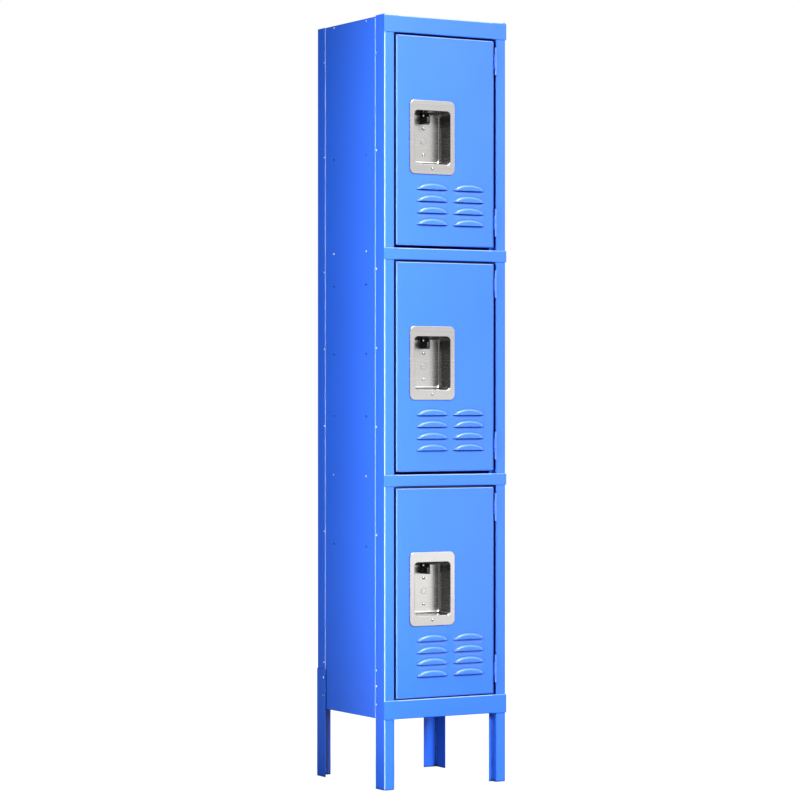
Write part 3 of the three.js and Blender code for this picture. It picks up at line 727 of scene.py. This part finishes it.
cup = {
    "proud": 1.8, "rim": 1.2, "plateCorner": 13.0, "openWidth": 90.0, "openHeight": 115.6, "corner": 8.0,
    "lipRadius": 1.4, "depth": 36.0, "draft": 2.0, "fillet": 6.0, "sheet": 1.0, "segments": 7,
    "rollSteps": 4, "filletSteps": 6, "edgeGap": 0.3,  # the plate's edge stops just short of the door
    "studSpacing": 57.0, "studDrop": 6.8, "studHole": 2.6, "lockHole": 7.2,
    "slotLow": 31.1, "slotHigh": 54.8, "slotGap": 0.3, "slotFrom": 25.0,
    "rivetDrop": 68.0, "rivetRadius": 2.8, "rivetHeight": 1.2,
}
lockBlank = {
    "width": 30.0, "height": 72.0, "corner": 5.0, "sheet": 1.2, "gap": 0.3,
    "discSheet": 2.0, "discProud": 0.25, "discGap": 0.3, "discEdge": 0.5, "discSides": 32,
    "studRadius": 3.4, "studHeight": 1.7, "studSeat": 0.2,
}


def cupPlace(tier):
    low, high = nodeBox(f"handle_cup_{tier}")
    return (low.x + high.x) / 2, (low.z + high.z) / 2, high.x - low.x, high.z - low.z


def quarter(radius, steps):
    # the steps of a quarter turn: how far each goes along, and how far across
    angles = [math.radians(90 * k / steps) for k in range(steps + 1)]
    return [
        (radius * (math.sin(b) - math.sin(a)), radius * (math.cos(a) - math.cos(b)))
        for a, b in zip(angles, angles[1:])
    ]


def growRound(bm, edges, centre, size, moves):
    for down, drawIn in moves:
        edges = grow(bm, edges, (0, down, 0), centre, size, drawIn)
        size = (size[0] - 2 * drawIn, size[1] - 2 * drawIn)
    return edges


def makeCup(tier):
    cupX, cupZ, plateWidth, plateHeight = cupPlace(tier)
    bm = bmesh.new()
    rim, roll = cup["rim"], cup["lipRadius"]
    face = (cupX, frontY - cup["proud"], cupZ)
    size = (plateWidth - 2 * rim, plateHeight - 2 * rim)
    outer = roundedLoop(bm, face, *size, cup["plateCorner"] - rim, cup["segments"])
    hole = (cup["openWidth"] + 2 * roll, cup["openHeight"] + 2 * roll)
    inner = roundedLoop(bm, face, *hole, cup["corner"] + roll, cup["segments"])
    bmesh.ops.bridge_loops(bm, edges=outer + inner)
    # the plate's outer edge rolls back to the door
    edges = growRound(bm, outer, face, size, [(down, -out) for out, down in quarter(rim, cup["rollSteps"])])
    grow(bm, edges, (0, cup["proud"] - rim - cup["edgeGap"], 0))
    # the mouth rolls inwards to the walls, and they round off to the back
    moves = [(down, drawIn) for drawIn, down in quarter(roll, cup["rollSteps"])]
    wall = cup["depth"] + cup["proud"] - roll - cup["fillet"]
    moves += [(wall / 3, cup["draft"] / 3)] * 3
    moves += quarter(cup["fillet"], cup["filletSteps"])
    edges = growRound(bm, inner, face, hole, moves)
    backY = frontY + cup["depth"]
    holes = ring(bm, (cupX, backY, cupZ - cup["studDrop"]), cup["lockHole"], faceFront, 24)
    for side in (-1, 1):
        z = cupZ - cup["studDrop"] + side * cup["studSpacing"] / 2
        holes += ring(bm, (cupX, backY, z), cup["studHole"], faceFront, 14)
    fillFlat(bm, edges + holes, (0, -1, 0))
    # the slot that the latch lever passes through
    gap = cup["slotGap"]
    right = nodeBox(f"latch_lever_{tier}")[1].x
    lug = (right - latch["sheet"] - gap, right + gap)
    slot = (cupZ + cup["slotLow"], cupZ + cup["slotHigh"])
    for x in lug:
        cutPlane(bm, (x, 0, 0), (1, 0, 0))
    for z in slot:
        cutPlane(bm, (0, 0, z), (0, 0, 1))
    slotY = frontY + cup["slotFrom"]
    cutAway(bm, lambda at: lug[0] < at.x < lug[1] and slot[0] < at.z < slot[1] and at.y > slotY)
    bmesh.ops.remove_doubles(bm, verts=bm.verts[:], dist=looseWeldGap)
    bmesh.ops.recalc_face_normals(bm, faces=bm.faces[:])
    turnOut(bm, (0, -1, 0))
    piece = addPiece(
        f"{tier}_cup", bm, stainless, f"door_{tier}",
        [f"handle_cup_{tier}"], cup["sheet"], 0,
    )
    # the cup's faces are all small, so a finer limit lets its flat back win over the round beside it
    piece.modifiers["shading"].thresh = 2 * mm * mm


def addDome(bm, centre, radius, height, turn):
    # a low rivet or stud head that stands out along the turned Z axis
    made = bmesh.ops.create_uvsphere(bm, u_segments=16, v_segments=10, radius=radius)["verts"]
    ball = made + list({e for v in made for e in v.link_edges})
    ball += list({f for v in made for f in v.link_faces})
    cut = bmesh.ops.bisect_plane(
        bm, geom=ball, dist=0.001, plane_co=(0, 0, 0), plane_no=(0, 0, 1), clear_inner=True,
    )
    verts = list(set(only(bmesh.types.BMVert, cut["geom"])))
    bmesh.ops.scale(bm, vec=(1, 1, height / radius), verts=verts)
    bmesh.ops.contextual_create(bm, geom=only(bmesh.types.BMEdge, cut["geom_cut"]))
    bmesh.ops.transform(bm, matrix=Matrix.Translation(centre) @ turn, verts=verts)


def addRod(bm, centre, radius, length, turn, sides=24, soften=0.0):
    # a solid rod about its centre, along the turned Z axis, with its end edges softened
    before = set(bm.verts)
    bmesh.ops.create_cone(
        bm, cap_ends=True, cap_tris=False, segments=sides, radius1=radius, radius2=radius, depth=length,
        matrix=Matrix.Translation(centre) @ turn,
    )
    verts = [v for v in bm.verts if v not in before]
    if soften:
        found = set(verts)
        rims = [
            e for e in bm.edges
            if e.verts[0] in found and e.verts[1] in found and any(len(f.verts) > 4 for f in e.link_faces)
        ]
        bmesh.ops.bevel(
            bm, geom=rims, offset=soften, offset_type="OFFSET", segments=2, profile=0.5,
            affect="EDGES", material=-1,
        )


def makeLockBlank(tier):
    cupX, cupZ, _, _ = cupPlace(tier)
    z = cupZ - cup["studDrop"]
    back = frontY + cup["depth"]
    bm = bmesh.new()
    behind = back + cup["sheet"] + lockBlank["gap"]
    outline = roundedLoop(bm, (cupX, behind, z), lockBlank["width"], lockBlank["height"], lockBlank["corner"])
    fillFlat(bm, outline, (0, -1, 0))
    made = bmesh.ops.extrude_face_region(bm, geom=bm.faces[:])["geom"]
    bmesh.ops.translate(bm, vec=(0, lockBlank["sheet"], 0), verts=only(bmesh.types.BMVert, made))
    bmesh.ops.recalc_face_normals(bm, faces=bm.faces[:])
    thickness = lockBlank["discSheet"]
    addRod(
        bm, (cupX, back + thickness / 2 - lockBlank["discProud"], z), cup["lockHole"] - lockBlank["discGap"],
        thickness, faceFront, lockBlank["discSides"], lockBlank["discEdge"],
    )
    for side in (-1, 1):
        at = (cupX, back - lockBlank["studSeat"], z + side * cup["studSpacing"] / 2)
        addDome(bm, at, lockBlank["studRadius"], lockBlank["studHeight"], faceFront)
    name = f"lock_blank_{tier}"
    addPiece(f"{tier}_lock_blank", bm, stainless, f"door_{tier}", [name], 0, 0)


# Latch lever and padlock hasp: upright plates with a padlock eye and rounded front corners.

latch = {
    "sheet": 4.4, "low": 31.7, "height": 14.5, "corner": 3.0, "edge": 0.45, "overlap": 0.5,
    "eye": 3.75, "eyeBack": 6.5, "eyeUp": 9.0, "eyeSides": 24,
    "barLow": 2.5, "barHigh": 12.0, "barSheet": 2.4, "noseWidth": 8.0, "noseDrop": 2.6,
    "haspSheet": 3.0, "haspRear": 16.5, "footSheet": 1.8, "footHeight": 14.5,
}


def addEyedPlate(bm, x, y, z, eye):
    before = set(bm.faces)
    corners = ((y[0], z[0]), (y[0], z[1]), (y[1], z[1]), (y[1], z[0]))
    verts = [bm.verts.new((x[0], *corner)) for corner in corners]
    bm.faces.new(verts)
    roundCorners(bm, verts[:2], latch["corner"], 5)
    edges = takeOutline(bm, before) + ring(bm, (x[0], *eye), latch["eye"], faceRight, latch["eyeSides"])
    filled = only(bmesh.types.BMFace, fillFlat(bm, edges, (1, 0, 0))["geom"])
    made = bmesh.ops.extrude_face_region(bm, geom=filled)["geom"]
    bmesh.ops.translate(bm, vec=(x[1] - x[0], 0, 0), verts=only(bmesh.types.BMVert, made))


def makeLatch(tier):
    _, cupZ, _, _ = cupPlace(tier)
    low, high = nodeBox(f"latch_lever_{tier}")
    lugLow = cupZ + latch["low"]
    lugX = (high.x - latch["sheet"], high.x)
    eye = (low.y + latch["eyeBack"], lugLow + latch["eyeUp"])
    overlap = latch["overlap"]
    bm = bmesh.new()
    addEyedPlate(bm, lugX, (low.y, high.y), (lugLow, lugLow + latch["height"]), eye)
    bar = (lugLow + latch["barLow"], lugLow + latch["barHigh"])
    depth = (high.y - latch["barSheet"], high.y)
    addBlock(bm, (low.x, lugX[0] + overlap), depth, bar)
    addBlock(bm, (low.x, low.x + latch["noseWidth"]), depth, (bar[0] - latch["noseDrop"], bar[0] + overlap))
    bmesh.ops.recalc_face_normals(bm, faces=bm.faces[:])
    name = f"latch_lever_{tier}"
    addPiece(f"{tier}_latch", bm, nylon, f"latch_{tier}", [name], 0, latch["edge"])
    low, high = nodeBox(f"padlock_hasp_{tier}")
    bm = bmesh.new()
    x = (low.x, low.x + latch["haspSheet"])
    frontRear = frontY + cup["depth"] - cup["fillet"]
    addEyedPlate(bm, x, (low.y, frontRear), (low.z, high.z), eye)
    addBlock(bm, x, (frontRear - overlap, high.y), (low.z, low.z + latch["haspRear"]))
    addBlock(bm, (low.x, high.x), (high.y - latch["footSheet"], high.y), (low.z, low.z + latch["footHeight"]))
    bmesh.ops.recalc_face_normals(bm, faces=bm.faces[:])
    name = f"padlock_hasp_{tier}"
    addPiece(f"{tier}_hasp", bm, nylon, f"door_{tier}", [name], 0, latch["edge"])


for tier in tiers:
    makeCup(tier)
    makeLockBlank(tier)
    makeLatch(tier)
print("handle cups and latches made")


# Hinges: rolled barrels in three knuckles, the leaves that carry them, and a headed pin.

hinge = {
    "radius": 3.1, "edge": 0.35, "sides": 28, "endKnuckle": 15.0, "gap": 0.3,
    "leafSheet": 1.2, "leafDepth": 11.5,
    "frameLeafFront": 2.1, "frameTabRear": 2.6, "doorLeafFront": 0.7, "doorTabRear": 1.4, "tabBite": 0.9,
    "pin": 1.5, "pinSides": 16, "pinHead": 2.5, "pinHeadHeight": 0.8,
    "shine": 0.25,  # how strong the painted highlight is on the barrel's left front
}


def noHighlight(co, mark):
    return 0.0


def addKnuckle(bm, axis, span):
    place = (axis.x, axis.y, sum(span) / 2)
    addRod(bm, place, hinge["radius"], span[1] - span[0], Matrix(), hinge["sides"], hinge["edge"])


def makeHinge(tier, which, low, high):
    pinLow, pinHigh = nodeBox(f"hinge_pin_{tier}_{which}")
    axis = (pinLow + pinHigh) / 2
    radius, gap, sheet = hinge["radius"], hinge["gap"], hinge["leafSheet"]
    ends = [(low, low + hinge["endKnuckle"]), (high - hinge["endKnuckle"], high)]
    middle = (ends[0][1] + gap, ends[1][0] - gap)
    rear = frontY + hinge["leafDepth"]

    # a painted highlight on the barrel's lit left front
    def shine(co, mark):
        return hinge["shine"] if co.y < axis.y - radius / 2 and co.x < axis.x else 0.0

    plateX = postX - post["face"] - gap
    plate = (plateX - sheet, plateX)
    bm = bmesh.new()
    addBlock(bm, plate, (frontY + hinge["frameLeafFront"], rear), (low, high))
    for span in ends:
        addKnuckle(bm, axis, span)
        addBlock(bm, plate, (axis.y, frontY + hinge["frameTabRear"]), span)
    closeUp(bm)
    name = f"frame_leaf_{tier}_{which}"
    addPiece(f"{tier}_{which}_frame_knuckles", bm, paint, "cabinet", [name], 0, 0, shine)

    doorEdge = nodeBox(f"door_leaf_{tier}_{which}")[0].x
    tab = (doorEdge, axis.x - radius + hinge["tabBite"])
    bm = bmesh.new()
    addBlock(bm, (doorEdge, doorEdge + sheet), (frontY + hinge["doorLeafFront"], rear), (low, high))
    addBlock(bm, tab, (axis.y, frontY + hinge["doorTabRear"]), middle)
    addKnuckle(bm, axis, middle)
    closeUp(bm)
    name = f"door_leaf_{tier}_{which}"
    addPiece(f"{tier}_{which}_door_knuckle", bm, paint, f"door_{tier}", [name], 0, 0, shine)

    bm = bmesh.new()
    addRod(bm, (axis.x, axis.y, (low + high) / 2), hinge["pin"], high - low, Matrix(), hinge["pinSides"])
    for z, turn in ((high + gap, Matrix()), (low - gap, Matrix.Rotation(math.pi, 4, "X"))):
        addDome(bm, (axis.x, axis.y, z), hinge["pinHead"], hinge["pinHeadHeight"], turn)
    name = f"hinge_pin_{tier}_{which}"
    addPiece(f"{tier}_{which}_pin", bm, paint, "cabinet", [name], 0, 0, noHighlight)


for tier, which, low, high in hingeSpans():
    makeHinge(tier, which, low, high)
print("hinges made")


# Rivets: low domes in the post flanges, the back's returns, the legs, the shelf edges and the cup plates.

rivet = {
    "radius": 2.5, "height": 1.3,
    "flange": (1597.7, 1385.6, 1128.4, 956.6, 785.3, 550.3, 257.0, 223.0, 183.0), "flangeFromFront": 35.0,
    "wrap": (1599.0, 1386.7, 1129.0, 957.0, 785.6, 549.8), "wrapFromFront": 267.0,
    "leg": (256.8, 222.3, 182.5), "legFromFront": 269.0,
    "shelf": (1671.0, 1168.0, 677.0), "shelfFromFront": (80.5, 226.0),
}


def addRivets(name, spots):
    bm = bmesh.new()
    for x, y, z in spots:
        for side in (-1, 1):
            turn = Matrix.Rotation(math.radians(90 * side), 4, "Y")
            addDome(bm, (side * x, y, z), rivet["radius"], rivet["height"], turn)
    addPiece(name, bm, rivetMetal, "cabinet", (), 0, 0)


wrapX = nodeBox("back_panel")[1].x
legX, _, legTop = nodeBox("rear_leg_right")[1]
addRivets("flange_rivets", [(postX, frontY + rivet["flangeFromFront"], z) for z in rivet["flange"]])
addRivets("wrap_rivets", [(wrapX, frontY + rivet["wrapFromFront"], z) for z in rivet["wrap"]])
addRivets("leg_rivets", [
    (legX if z < legTop else wrapX, frontY + rivet["legFromFront"], z) for z in rivet["leg"]
])
addRivets("shelf_rivets", [(postX, frontY + y, z) for z in rivet["shelf"] for y in rivet["shelfFromFront"]])
for tier in tiers:
    cupX, cupZ, _, _ = cupPlace(tier)
    bm = bmesh.new()
    place = (cupX, frontY - cup["proud"], cupZ - cup["rivetDrop"])
    addDome(bm, place, cup["rivetRadius"], cup["rivetHeight"], faceFront)
    addPiece(f"{tier}_cup_rivet", bm, stainless, f"door_{tier}", (), 0, 0)
print("rivets made")


# The remaining nodes keep their shape, with softened edges and their own finish.

def dressNode(name, material):
    node = frame["nodes"][name]
    node.data.materials.clear()
    node.data.materials.append(material)
    weld = node.modifiers.new("weld", "WELD")
    weld.merge_threshold = level * mm
    softenEdges(node, softEdge)


for name in ("top_panel", "shelf_upper", "shelf_lower", "compartment_floor"):
    dressNode(name, paint)
for tier in tiers:
    dressNode(f"strike_{tier}", zinc)
    dressNode(f"latch_guide_{tier}", zinc)
    dressNode(f"door_bumper_{tier}", rubber)
print("other nodes finished")


# Studio: a pale floor, an even white surround that is darker to the left and behind, and soft lights.

studio = {
    "bright": 1.3, "dim": 0.03, "from": (0.85, -0.55, 0.15), "fade": (0.05, 0.9),
    "floor": (0.1, 0.1, 0.1), "floorSize": 30, "floorZ": -0.0004,
}
lamps = {  # place, what it points at, width and height in metres, and energy
    "key": ((3.0, -12.5, 10.5), (0.0, 0.0, 0.8), 5.0, 5.0, 5500.0),
    "card": ((1.75, -3.0, 0.25), (0.0, 0.0, 0.3), 2.0, 1.0, 12.0),
    "sideCard": ((-0.50, 0.36, 0.85), (-0.155, -0.05, 0.85), 0.25, 2.2, 0.8),
    "strip": ((-0.50, -0.33, 0.9), (-0.12, -0.14, 0.9), 0.1, 2.0, 11.5),
}


def makeSurround():
    world = bpy.data.worlds.new("surround")
    bpy.context.scene.world = world
    world.use_nodes = True
    tree = world.node_tree
    background = tree.nodes["Background"]
    background.inputs["Color"].default_value = (1, 1, 1, 1)
    place = addNode(tree, "ShaderNodeTexCoord")
    towards = Vector(studio["from"]).normalized()
    lean = addNode(tree, "ShaderNodeVectorMath", {1: towards}, operation="DOT_PRODUCT")
    level = addNode(tree, "ShaderNodeMapRange", {
        "From Min": studio["fade"][0], "From Max": studio["fade"][1],
        "To Min": studio["dim"], "To Max": studio["bright"],
    }, interpolation_type="SMOOTHSTEP")
    path = addNode(tree, "ShaderNodeLightPath")
    mix = addNode(tree, "ShaderNodeMix", data_type="FLOAT")
    mix.inputs[3].default_value = 1.0
    join(
        tree,
        (place.outputs["Generated"], lean.inputs[0]),
        (lean.outputs["Value"], level.inputs["Value"]),
        (path.outputs["Is Camera Ray"], mix.inputs[0]),
        (level.outputs["Result"], mix.inputs[2]),
        (mix.outputs[0], background.inputs["Strength"]),
    )


def addLight(name, place, target, width, height, energy):
    data = bpy.data.lights.new(name, "AREA")
    data.shape = "RECTANGLE"
    data.size = width
    data.size_y = height
    data.energy = energy
    lamp = bpy.data.objects.new(name, data)
    bpy.context.scene.collection.objects.link(lamp)
    lamp.location = place
    lamp.rotation_euler = (Vector(target) - Vector(place)).to_track_quat("-Z", "Y").to_euler()
    lamp.visible_camera = False
    return lamp


def makeFloor():
    bm = bmesh.new()
    bmesh.ops.create_grid(bm, x_segments=1, y_segments=1, size=studio["floorSize"])
    bmesh.ops.translate(bm, vec=(0, 0, studio["floorZ"]), verts=bm.verts[:])
    mesh = bpy.data.meshes.new("floor")
    bm.to_mesh(mesh)
    bm.free()
    material, tree, shader = newMaterial("paleFloor", {
        "Base Color": (*studio["floor"], 1), "Roughness": 0.9, "Specular IOR Level": 0.1,
        "Emission Color": (1, 1, 1, 1),
    })
    path = addNode(tree, "ShaderNodeLightPath")  # the floor is over-exposed to plain white
    join(tree, (path.outputs["Is Camera Ray"], shader.inputs["Emission Strength"]))
    mesh.materials.append(material)
    floor = bpy.data.objects.new("floor", mesh)
    bpy.context.scene.collection.objects.link(floor)


makeSurround()
makeFloor()
lights = {name: addLight(name, *values) for name, values in lamps.items()}
lit = bpy.data.collections.new("litByStrip")  # the strip models the painted shell alone
for piece in bpy.data.objects:
    if piece.type == "MESH" and piece.data.materials and piece.data.materials[0] in (paint, rivetMetal):
        lit.objects.link(piece)
lights["strip"].light_linking.receiver_collection = lit

camera = {"place": (-3.2667, -5.5285, 0.8434), "turn": 30.35, "lens": 129.62, "sensor": 36}
view = bpy.data.cameras.new("view")
view.lens = camera["lens"]
view.sensor_width = camera["sensor"]
viewer = bpy.data.objects.new("view", view)
bpy.context.scene.collection.objects.link(viewer)
viewer.location = camera["place"]
viewer.rotation_euler = (math.radians(90), 0, -math.radians(camera["turn"]))
bpy.context.scene.camera = viewer
bpy.context.scene.view_settings.view_transform = "Standard"
print("studio made")
